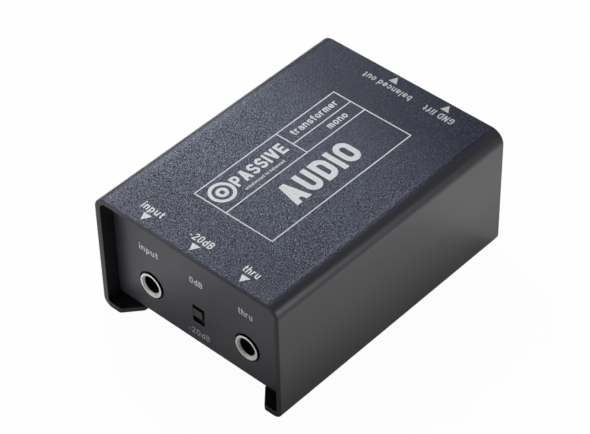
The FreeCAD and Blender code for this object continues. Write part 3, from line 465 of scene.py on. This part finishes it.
# Each material with the pieces that wear it.
FINISHES = (
    (textured_paint(), "sleeve_cover"),
    (panel_paint(), "chassis_tray"),
    (turned_nickel("nickel_input", "input_jack_nose"), "input_jack_nose"),
    (turned_nickel("nickel_thru", "thru_jack_nose"), "thru_jack_nose"),
    (diecast(), "xlr_shell"),
    (laminate(), "main_pcb"),
    (lamination_steel(), "transformer_e_core transformer_i_core"),
    (copper_wire(), "transformer_winding"),
    (tape(), "transformer_tape"),
    (resistor(), "resistor_bodies"),
    (moulded("jack_nylon", rgb(19, 19, 20), rgb(25, 25, 26)), "xlr_insert"),
    (moulded("socket_nylon", rgb(6, 6, 7), rgb(9, 9, 10), rough=0.55),
     "input_jack_body thru_jack_body"),
    (knob_plastic(), "pad_switch_slider lift_switch_slider"),
    (moulded("phenolic", rgb(104, 68, 40), rgb(122, 82, 50), rough=0.5, grain=900.0,
             strength=0.2), "pad_switch_base lift_switch_base"),
    (moulded("bobbin_nylon", rgb(212, 206, 184), rgb(224, 219, 200), rough=0.5),
     "transformer_bobbin"),
    (moulded("capacitor_red", rgb(150, 30, 22), rgb(168, 38, 28), rough=0.3, grain=600.0,
             strength=0.1, coat=0.3), "film_capacitors"),
    (moulded("green_insulation", rgb(40, 128, 50), rgb(50, 142, 60), rough=0.4, grain=900.0,
             strength=0.1), "ground_wire"),
    (rolled_metal("switch_frame_steel", rgb(170, 170, 168), rough=0.34),
     "pad_switch_frame lift_switch_frame"),
    (rolled_metal("zinc_steel", rgb(196, 198, 204), rough=0.28, lines=1400.0, strength=0.1),
     "pcb_screws clinch_nuts pcb_standoffs ground_screw xlr_nuts"),
    (rolled_metal("black_zinc_steel", rgb(52, 52, 55), rough=0.34, lines=1400.0,
                  strength=0.14, metallic=0.85), "cover_screws xlr_screws"),
    (rolled_metal("tinned_brass", rgb(206, 204, 196)),
     "input_tip_terminal thru_tip_terminal input_jack_lugs thru_jack_lugs pad_switch_pins "
     "lift_switch_pins transformer_pins resistor_leads capacitor_leads ground_lug"),
    (rolled_metal("spring_bronze", rgb(118, 106, 84), rough=0.34, axis=1, metallic=0.8),
     "input_tip_spring thru_tip_spring"),
    (rolled_metal("gold_plate", rgb(222, 190, 116), rough=0.18, axis=1, lines=1800.0,
                  strength=0.08), "xlr_pins"),
)
finish_of = {piece: material for material, pieces in FINISHES for piece in pieces.split()}
for name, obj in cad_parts.items():
    obj.data.materials.clear()
    obj.data.materials.append(finish_of[name])

ink_white = print_ink("legend_white", rgb(203, 204, 208), rgb(217, 218, 220))
ink_rear = print_ink("legend_soft", rgb(172, 173, 177), rgb(186, 187, 190))
ink_line = print_ink("legend_line", rgb(196, 198, 206), rgb(214, 216, 222))
# Painted shade: a darker copy of the white ink, for the -20dB legend low on the front panel, where
# less light falls; the rear legends wear it too.
ink_painted_shade = print_ink("legend_painted_shade", rgb(150, 148, 150), rgb(166, 164, 165))

# ----------------------------------------------------------------- alphabet
# A plain narrow alphabet drawn as centre lines, one unit to the capital height.
SMALL = 0.72         # height of small letters
CAP = 1.0
CAPITALS = "AVBPDEGNOSU02"


def arc(x, y, radius, start, end, rise=None):
    """Points round a centre, angles in degrees; rise is the radius up the letter."""
    steps = 10
    angles = [math.radians(start + (end - start) * i / steps) for i in range(steps + 1)]
    rise = rise or radius
    return [(x + radius * math.cos(a), y + rise * math.sin(a)) for a in angles]


def ribbon(points, half, loop=False):
    """Quads along a centre line, mitred at its corners."""
    points = [Vector(p) for p in points]
    points = [p for i, p in enumerate(points) if i == 0 or (p - points[i - 1]).length > 1e-6]
    if loop and (points[0] - points[-1]).length < 1e-6:
        points.pop()
    count = len(points)
    left, right = [], []
    for i, point in enumerate(points):
        before = (point - points[i - 1]).normalized() if i or loop else None
        after = (points[(i + 1) % count] - point).normalized() if i < count - 1 or loop else None
        before = before or after
        after = after or before
        normal = Vector((-before.y, before.x))
        mitre = (normal + Vector((-after.y, after.x))).normalized()
        mitre = mitre * min(half / max(mitre.dot(normal), 0.3), 2.6 * half)
        left.append(point + mitre)
        right.append(point - mitre)
    return [[left[i], left[(i + 1) % count], right[(i + 1) % count], right[i]]
            for i in range(count if loop else count - 1)]


def stadium(width, height, stroke):
    """Upright closed oval with straight flanks, standing on the base line."""
    half = stroke / 2
    radius = (width - stroke) / 2
    mid = half + radius
    return arc(mid, height - half - radius, radius, 0, 180) + arc(mid, half + radius, radius,
                                                                  180, 360)


def draw_s(line, width, top, half):
    right = width - half
    bowl = (top - (top + half) / 2) / 2
    wide = min((right - half) / 2, bowl * 1.15)
    high, low = top - bowl, half + bowl
    line(*arc(right - wide, high, wide, 12, 90, bowl), *arc(half + wide, high, wide, 90, 270, bowl),
         *arc(right - wide, low, wide, 90, -90, bowl), *arc(half + wide, low, wide, 270, 192, bowl))
    return width


def small_letter(ch, stroke, line, plate):
    """Draws a small letter, a space, a dash or I, and returns its width."""
    half = stroke / 2
    width = 0.38 + stroke
    left, right, mid = half, width - half, width / 2
    base, top = half, SMALL - half
    bowl = (width - stroke) / 2
    high, low = top - bowl, base + bowl          # centres of the upper and lower bowls
    if ch == " ":
        return 0.20
    if ch in "ilI":
        line((left, 0), (left, SMALL if ch == "i" else CAP))
        if ch == "i":
            line((left, CAP - stroke * 0.95), (left, CAP))
        return stroke
    if ch == "-":
        line((0, 0.38), (0.26, 0.38))
        return 0.26
    if ch in "nh":
        line((left, 0), (left, SMALL if ch == "n" else CAP))
        line(*arc(mid, high, bowl, 180, 0), (right, 0))
        return width
    if ch == "u":
        line((right, 0), (right, SMALL))
        line((left, SMALL), *arc(mid, low, bowl, 180, 360))
        return width
    if ch == "m":
        hump = 0.145
        line((left, 0), (left, SMALL))
        for i in (1, 3):
            line(*arc(left + i * hump, top - hump, hump, 180, 0), (left + (i + 1) * hump, 0))
        return stroke + 4 * hump
    if ch == "r":
        line((left, 0), (left, SMALL))
        line(*arc(mid, high, bowl, 180, 62))
        return mid + bowl * 0.47 + half * 0.5
    if ch in "pbdo":
        line(*stadium(width, SMALL, stroke), loop=True)
        if ch == "p":
            line((left, -0.25), (left, SMALL))
        elif ch == "b":
            line((left, 0), (left, CAP))
        elif ch == "d":
            line((right, 0), (right, CAP))
        return width
    if ch == "c":
        line(*arc(mid, high, bowl, 8, 180), *arc(mid, low, bowl, 180, 352))
        return width
    if ch == "e":
        bar = SMALL * 0.5
        line((left, bar - half * 0.15), (right, bar - half * 0.15))
        line((right, bar - half), *arc(mid, high, bowl, 0, 180), *arc(mid, low, bowl, 180, 338))
        return width
    if ch == "a":
        bar = SMALL * 0.56
        belly = (bar - base) / 2
        line(*arc(mid - 0.01, high, bowl, 158, 0), (right, 0))
        line((right, bar), *arc(left + belly, base + belly, belly, 90, 270), (right, base))
        return width
    if ch == "s":
        return draw_s(line, width, top, half)
    if ch in "tf":
        hook = 0.13
        stem = half + 0.10
        end = stem + hook + half * 0.9
        if ch == "t":
            line((stem, CAP - 0.06), *arc(stem + hook, base + hook, hook, 180, 270), (end, base))
        else:
            line((stem, 0), *arc(stem + hook, CAP - half - hook, hook, 180, 90),
                 (end, CAP - half))
        line((0, top), (end, top))
        return end
    raise ValueError("no letter " + ch)


def capital(ch, stroke, line, plate):
    """Draws a capital or a figure and returns its width."""
    half = stroke / 2
    width = 0.42 + stroke
    left, right, mid = half, width - half, width / 2
    base, top = half, CAP - half
    bowl = (width - stroke) / 2
    if ch in "AV":
        leg = stroke * 1.10
        width += 0.06
        mid = width / 2
        parts = [[(0, 0), (leg, 0), (mid + leg / 2, CAP), (mid - leg / 2, CAP)],
                 [(width - leg, 0), (width, 0), (mid + leg / 2, CAP), (mid - leg / 2, CAP)]]
        if ch == "A":
            bar, bar_top = 0.20, 0.20 + stroke * 0.95
            parts.append([(leg * 0.9, bar), (width - leg * 0.9, bar),
                          (width - leg * 1.25, bar_top), (leg * 1.25, bar_top)])
        else:
            parts = [[(x, CAP - y) for x, y in part] for part in parts]
        for part in parts:
            plate(*part)
        return width
    if ch == "S":
        return draw_s(line, width, top, half)
    if ch in "BPDE":
        line((left, 0), (left, CAP))
    if ch == "B":
        waist = 0.53
        upper, lower = (top - waist) / 2, (waist - base) / 2
        line((left, top), *arc(right - 0.03 - upper, top - upper, upper, 90, -90), (left, waist))
        line((left, waist), *arc(right - lower, base + lower, lower, 90, -90), (left, base))
    elif ch == "P":
        waist = 0.46
        upper = (top - waist) / 2
        line((left, top), *arc(right - upper, top - upper, upper, 90, -90), (left, waist))
    elif ch == "D":
        turn = 0.24
        line((left, top), *arc(right - turn, top - turn, turn, 90, 0),
             *arc(right - turn, base + turn, turn, 0, -90), (left, base))
    elif ch == "E":
        width -= 0.02
        line((left, top), (width, top))
        line((left, 0.5), (width - 0.05, 0.5))
        line((left, base), (width, base))
    elif ch == "G":
        bar = 0.52
        line(*arc(mid, top - bowl, bowl, 14, 180), *arc(mid, base + bowl, bowl, 180, 360),
             (right, bar))
        line((mid, bar - half), (width, bar - half))
    elif ch == "N":
        slant = stroke * 1.12
        line((left, 0), (left, CAP))
        line((right, 0), (right, CAP))
        plate((0, CAP), (slant, CAP), (width, 0), (width - slant, 0))
    elif ch in "O0":
        width += 0.03 if ch == "O" else -0.02
        line(*stadium(width, CAP, stroke), loop=True)
    elif ch == "U":
        line((left, CAP), *arc(mid, base + bowl, bowl, 180, 360), (right, CAP))
    elif ch == "2":
        width -= 0.02
        bowl = (width - stroke) / 2
        line(*arc(width / 2, top - bowl, bowl, 172, -28), (left + half * 0.25, base + half * 0.2))
        line((0, base), (width, base))
        plate((0, 0), (stroke, 0), (stroke * 1.2, stroke), (0, stroke * 0.8))
    return width


def glyph(ch, stroke):
    """Width and quads of one letter."""
    quads = []

    def line(*points, loop=False):
        quads.extend(ribbon(points, stroke / 2, loop))

    def plate(*corners):
        quads.append([Vector(corner) for corner in corners])
    draw = capital if ch in CAPITALS else small_letter
    return draw(ch, stroke, line, plate), quads


# ------------------------------------------------------------- print meshes
# Prints are drawn flat in XY with +Z out of the print, then laid on a face.
INK = 0.00003        # proud of the paint
SINK = 0.00004       # keyed into the paint


def ink_object(name, bm, ink):
    bmesh.ops.recalc_face_normals(bm, faces=bm.faces)
    mesh = bpy.data.meshes.new(name)
    bm.to_mesh(mesh)
    bm.free()
    mesh.materials.append(ink)
    obj = bpy.data.objects.new(name, mesh)
    scene.collection.objects.link(obj)
    return obj


def text_mesh(name, words, width, height, ink, weight, gap):
    """Letters fitted to a width and a capital height, centred on x, base at y 0."""
    pen, letters = 0.0, []
    for ch in words:
        advance, quads = glyph(ch, weight)
        if quads:
            letters.append([[Vector((v.x + pen, v.y)) for v in quad] for quad in quads])
        pen += advance + gap
    length = pen - gap
    stretch = width / length
    bm = bmesh.new()
    for quads in letters:
        # Overlapping quads of a letter are merged into one outline.
        corners, faces = [], []
        for quad in quads:
            area = sum(quad[i].x * quad[(i + 1) % 4].y - quad[(i + 1) % 4].x * quad[i].y
                       for i in range(4))
            faces.append(list(range(len(corners), len(corners) + 4)))
            corners.extend(quad if area > 0 else quad[::-1])
        points, _, cells, _, _, sources = delaunay_2d_cdt(corners, [], faces, 1, 1e-5)
        cells = [cell for cell, source in zip(cells, sources) if source]
        lower, upper = {}, {}
        for i in sorted({i for cell in cells for i in cell}):
            x, y = (points[i].x - length / 2) * stretch, points[i].y * height
            lower[i] = (x, y, -SINK)
            upper[i] = (x, y, INK)
        lower = {i: bm.verts.new(place) for i, place in lower.items()}
        upper = {i: bm.verts.new(place) for i, place in upper.items()}
        rim = {}
        for cell in cells:
            bm.faces.new([upper[i] for i in cell])
            bm.faces.new([lower[i] for i in reversed(cell)])
            for a, b in zip(cell, list(cell[1:]) + [cell[0]]):
                if rim.pop((b, a), None) is None:
                    rim[a, b] = True
        for a, b in rim:
            bm.faces.new((lower[a], lower[b], upper[b], upper[a]))
    return ink_object(name, bm, ink)


def flat_plates(name, outlines, ink):
    """Closed thin plates from plan outlines in millimetres."""
    bm = bmesh.new()
    for outline in outlines:
        lower = [bm.verts.new((x * MM, y * MM, -SINK)) for x, y in outline]
        upper = [bm.verts.new((x * MM, y * MM, INK)) for x, y in outline]
        bm.faces.new(list(reversed(lower)))
        bm.faces.new(upper)
        for i in range(len(outline)):
            j = (i + 1) % len(outline)
            bm.faces.new((lower[i], lower[j], upper[j], upper[i]))
    return ink_object(name, bm, ink)


def flat_rings(name, centre, rings, ink):
    """Closed thin rings on one centre: (outer, inner) radii, in millimetres."""
    segments = 72
    bm = bmesh.new()
    for radii in rings:
        loops = [[bm.verts.new((centre[0] * MM + radius * MM * math.cos(2 * math.pi * i / segments),
                                centre[1] * MM + radius * MM * math.sin(2 * math.pi * i / segments),
                                z)) for i in range(segments)]
                 for radius in radii for z in (-SINK, INK)]
        outer_lo, outer_hi, inner_lo, inner_hi = loops
        for i in range(segments):
            j = (i + 1) % segments
            bm.faces.new((outer_lo[i], outer_lo[j], outer_hi[j], outer_hi[i]))
            bm.faces.new((inner_lo[j], inner_lo[i], inner_hi[i], inner_hi[j]))
            bm.faces.new((outer_hi[i], outer_hi[j], inner_hi[j], inner_hi[i]))
            bm.faces.new((outer_lo[j], outer_lo[i], inner_lo[i], inner_lo[j]))
    return ink_object(name, bm, ink)


# Centre lines of the ruled frame on the top, in millimetres.
LINES_X = (-15.2, -8.05, -2.1, 16.8)
LINES_Y = (-31.5, 4.95, 32.05)
LINE_WIDTH = 0.42


def frame_lines():
    """The ruled frame as one closed sheet with four window holes."""
    sides = (-LINE_WIDTH / 2, LINE_WIDTH / 2)
    columns = [x + side for x in LINES_X for side in sides]
    rows = [y + side for y in LINES_Y for side in sides]
    last_i, last_j = len(columns) - 2, len(rows) - 2

    def solid(i, j):
        """Even cells lie on lines; the two inner short lines stop at the third upright."""
        return (i in (0, 4, last_i) or j in (0, last_j)
                or (j == 2 and i < 4) or (i == 2 and j > 2))
    bm = bmesh.new()
    verts = {}

    def vert(i, j, z):
        if (i, j, z) not in verts:
            verts[i, j, z] = bm.verts.new((columns[i] * MM, rows[j] * MM, z))
        return verts[i, j, z]
    for i in range(last_i + 1):
        for j in range(last_j + 1):
            if not solid(i, j):
                continue
            corners = [(i, j), (i + 1, j), (i + 1, j + 1), (i, j + 1)]
            bm.faces.new([vert(*c, INK) for c in corners])
            bm.faces.new([vert(*c, -SINK) for c in reversed(corners)])
            # Neighbouring cell and the corners of the shared edge.
            for di, dj, a, b in ((-1, 0, 3, 0), (1, 0, 1, 2), (0, -1, 0, 1), (0, 1, 2, 3)):
                ii, jj = i + di, j + dj
                if 0 <= ii <= last_i and 0 <= jj <= last_j and solid(ii, jj):
                    continue
                start, end = corners[a], corners[b]
                bm.faces.new([vert(*start, -SINK), vert(*end, -SINK),
                              vert(*end, INK), vert(*start, INK)])
    return ink_object("top_frame_lines", bm, ink_line)


# ------------------------------------------------------------------ legends
# A face to print on: its name, paint, reading direction, letters' up, and its
# panel's Y (None on the top).
Face = namedtuple("Face", "name slot right up panel_y")
X, Y, Z, NX = (1, 0, 0), (0, 1, 0), (0, 0, 1), (-1, 0, 0)
top_face = Face("top", "textured_paint", X, Y, None)
top_from_rear = top_face._replace(right=NX, up=(0, -1, 0))
top_along = top_face._replace(right=Y, up=NX)
front_face = Face("front", "panel_paint", X, Z, PANEL_Y)
rear_face = Face("rear", "panel_paint", NX, Z, REAR_Y)


def lay(obj, face, origin=(0, 0, TOP)):
    """Lays a flat print on a face and ties it to the enclosure."""
    right, up = Vector(face.right), Vector(face.up)
    turn = Matrix((right, up, right.cross(up))).transposed()
    obj.data.transform(Matrix.Translation(origin) @ turn.to_4x4())
    obj.data.update()
    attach(obj, "enclosure")


def letter(face, rows, weight, gap=0.17):
    """Prints words; across and base place the middle of the base line on the face."""
    for suffix, words, across, base, width, height, ink in rows:
        text = text_mesh(face.name + "_legend_" + suffix, words, width * MM, height * MM,
                         ink, weight, gap)
        if face.panel_y is None:
            lay(text, face, (across * MM, base * MM, TOP))
        else:
            lay(text, face, (across * MM, face.panel_y, base * MM))


def pointers(name, centres, base, side, ink):
    """Triangles with tips towards one end of the top: side is -1 front, 1 rear."""
    half_width, length, lean = 1.65, 3.0, 0.2
    lay(flat_plates(name, [[(x + side * half_width, base), (x - lean, base + side * length),
                            (x - side * half_width, base)] for x in centres], ink), top_face)


lay(frame_lines(), top_face)
pointers("top_pointers_front", (-19.2, 1.05, 21.25), base=-47.4, side=-1, ink=ink_white)
pointers("top_pointers_rear", (-4.2, 17.15), base=47.9, side=1, ink=ink_rear)

# Columns: name, words, across, base, width, capital height (mm), ink.
# Legends at the front edge read from the front, at the rear edge from the rear.
letter(top_face, (
    ("input", "input", -19.4, -46.3, 8.6, 2.9, ink_white),
    ("pad", "-20dB", 0.9, -46.3, 9.0, 2.9, ink_white),
    ("thru", "thru", 21.2, -46.3, 6.2, 2.9, ink_white)), weight=0.165)
letter(top_from_rear, (
    ("output", "balanced out", -4.3, 46.6, 19.5, 2.7, ink_rear),
    ("lift", "GND lift", 17.0, 46.6, 11.8, 2.7, ink_rear)), weight=0.165)

# Cells of the frame, read along +Y; the last two columns are stroke weight and gap.
for *row, weight, gap in (
        ("big", "AUDIO", 11.9, 0.6, 31.0, 9.8, ink_white, 0.215, 0.13),
        ("kind", "PASSIVE", -7.0, -9.1, 22.8, 4.9, ink_white, 0.20, 0.12),
        ("small", "unbalanced to balanced", -4.3, -11.2, 17.4, 1.2, ink_white, 0.15, 0.17),
        ("note", "transformer", -10.2, 18.6, 20.5, 2.9, ink_white, 0.15, 0.15),
        ("mode", "mono", -3.9, 22.3, 8.4, 2.9, ink_white, 0.15, 0.15)):
    letter(top_along, [row], weight, gap)
# A plug-hole symbol: two rings.
lay(flat_rings("top_symbol", (-9.2, -25.6), ((4.5, 3.3), (2.1, 0.9)), ink_white), top_face)

letter(front_face, (
    ("input", "input", -20.9, 28.7, 8.0, 2.6, ink_white),
    ("zero", "0dB", -0.8, 28.2, 5.4, 2.5, ink_white),
    ("pad", "-20dB", -0.6, 6.4, 8.8, 2.6, ink_painted_shade),
    ("thru", "thru", 19.6, 28.4, 5.8, 2.6, ink_white)), weight=0.16)
letter(rear_face, (
    ("output", "balanced out", XLR_X / MM, 41.0, 16.5, 2.0, ink_painted_shade),
    ("gnd", "GND", LIFT_X / MM, 21.0, 5.2, 2.2, ink_painted_shade),
    ("lift", "lift", LIFT_X / MM, 7.0, 4.0, 2.2, ink_painted_shade)), weight=0.16)

# -------------------------------------------------------------------- stage
# Soft round pools of light in the floor: x, y, radius, strength.
POOLS = (
    (0.075, 0.06, 0.022, 0.220),
    (0.075, 0.0, 0.022, 0.040),
    (-0.033, -0.065, 0.012, 0.260),
    (0.0085, -0.065, 0.012, 0.220),
)


def floor_material():
    """White to the camera; to the object, a pale floor with glowing pools."""
    m = Mat("floor")
    x, y, _ = m.axes()
    to_camera = m.node("ShaderNodeLightPath").outputs["Is Camera Ray"]
    white = m.node("ShaderNodeEmission", Color=(1.0, 1.0, 1.0, 1.0), Strength=1.0).outputs[0]
    glow = None
    for pool_x, pool_y, radius, strength in POOLS:
        dx = m.sub(x, pool_x)
        dy = m.sub(y, pool_y)
        square = m.add(m.mul(dx, dx), m.mul(dy, dy))
        falloff = m.math("EXPONENT", m.mul(square, by=-0.5 / (radius * radius)))
        pool = m.mul(falloff, strength)
        glow = m.add(glow, pool) if glow else pool
    glow = m.mul(glow, m.invert(to_camera))
    m.surface(Base_Color=(0.80, 0.80, 0.80, 1.0), Roughness=0.9, Specular_IOR_Level=0.0,
              Emission_Color=(1.0, 1.0, 1.0, 1.0), Emission_Strength=glow)
    mixed = m.node("ShaderNodeMixShader", i0=m.mul(to_camera, by=0.97),
                   i1=m.shader.outputs[0], i2=white)
    m.put(m.tree.nodes["Material Output"].inputs["Surface"], mixed.outputs[0])
    return m.material


bpy.ops.mesh.primitive_plane_add(size=8.0, location=(0, 0, BOTTOM))
floor = bpy.context.object
floor.name = "floor"
floor.data.materials.append(floor_material())


def white_world():
    """White to the camera, black to everything else."""
    world = bpy.data.worlds.new("world")
    scene.world = world
    world.use_nodes = True
    tree = world.node_tree
    background = tree.nodes["Background"]
    path = tree.nodes.new("ShaderNodeLightPath")
    strength = tree.nodes.new("ShaderNodeMix")
    strength.data_type = "FLOAT"
    tree.links.new(path.outputs["Is Camera Ray"], strength.inputs[0])
    strength.inputs[2].default_value = 0.0
    strength.inputs[3].default_value = 1.0
    tree.links.new(strength.outputs[0], background.inputs["Strength"])
    background.inputs["Color"].default_value = (1, 1, 1, 1)


white_world()

# Square area lights: name, location, height aimed at on the Z axis, side, power.
LIGHTS = (
    ("soft_1", (-0.381, 0.186, 0.444), 0.02, 0.30, 1.717),
    ("soft_2", (-0.299, 0.217, 0.493), 0.02, 0.30, 1.412),
    ("soft_3", (-0.488, 0.178, 0.320), 0.02, 0.30, 0.287),
    ("soft_4", (0.545, 0.198, 0.175), 0.02, 0.30, 0.521),
    ("near_5", (-0.090, -0.170, 0.100), 0.03, 0.08, 0.1085),
    ("near_6", (0.200, 0.000, 0.120), 0.03, 0.08, 0.1120),
    ("soft_7", (0.135, -0.502, 0.320), 0.02, 0.30, 0.120),
    ("fill_back", (0.15, 0.56, 0.20), 0.02, 0.30, 0.45),
)
for name, location, aim, side, power in LIGHTS:
    light = bpy.data.lights.new(name, "AREA")
    light.shape = "RECTANGLE"
    light.size = light.size_y = side
    light.energy = power
    lamp = bpy.data.objects.new(name, light)
    lamp.location = location
    lamp.rotation_mode = "QUATERNION"
    toward = Vector((0, 0, aim)) - Vector(location)
    lamp.rotation_quaternion = toward.to_track_quat("-Z", "Y")
    lamp.visible_camera = False
    scene.collection.objects.link(lamp)

# ------------------------------------------------------------------- camera
# Above the front right corner; distance and shifts are in heights of the box.
HEIGHT = TOP - BOTTOM
AZIMUTH, ELEVATION, ROLL = map(math.radians, (43.180, 42.952, -1.3664))
DISTANCE, SHIFT_RIGHT, SHIFT_UP = 15.6339, -0.0516, 0.0120
back = Vector((math.sin(AZIMUTH) * math.cos(ELEVATION),
               -math.cos(AZIMUTH) * math.cos(ELEVATION), math.sin(ELEVATION)))
level = (-back).cross(Vector((0, 0, 1))).normalized()
upright = level.cross(-back)
right = level * math.cos(ROLL) + upright * math.sin(ROLL)
up = -level * math.sin(ROLL) + upright * math.cos(ROLL)
eye = (back * (DISTANCE * HEIGHT) + Vector((0, 0, 0.5 * HEIGHT))
       + right * (SHIFT_RIGHT * HEIGHT) + up * (SHIFT_UP * HEIGHT))
lens = bpy.data.cameras.new("camera")
lens.sensor_fit = "HORIZONTAL"
lens.sensor_width = 36.0
lens.lens = 141.389024
lens.clip_start, lens.clip_end = 0.05, 50.0
camera = bpy.data.objects.new("camera", lens)
camera.matrix_world = Matrix([(right[i], up[i], back[i], eye[i]) for i in range(3)]
                             + [(0, 0, 0, 1)])
scene.collection.objects.link(camera)
scene.camera = camera
scene.view_settings.view_transform = "Standard"
scene.view_settings.look = "None"
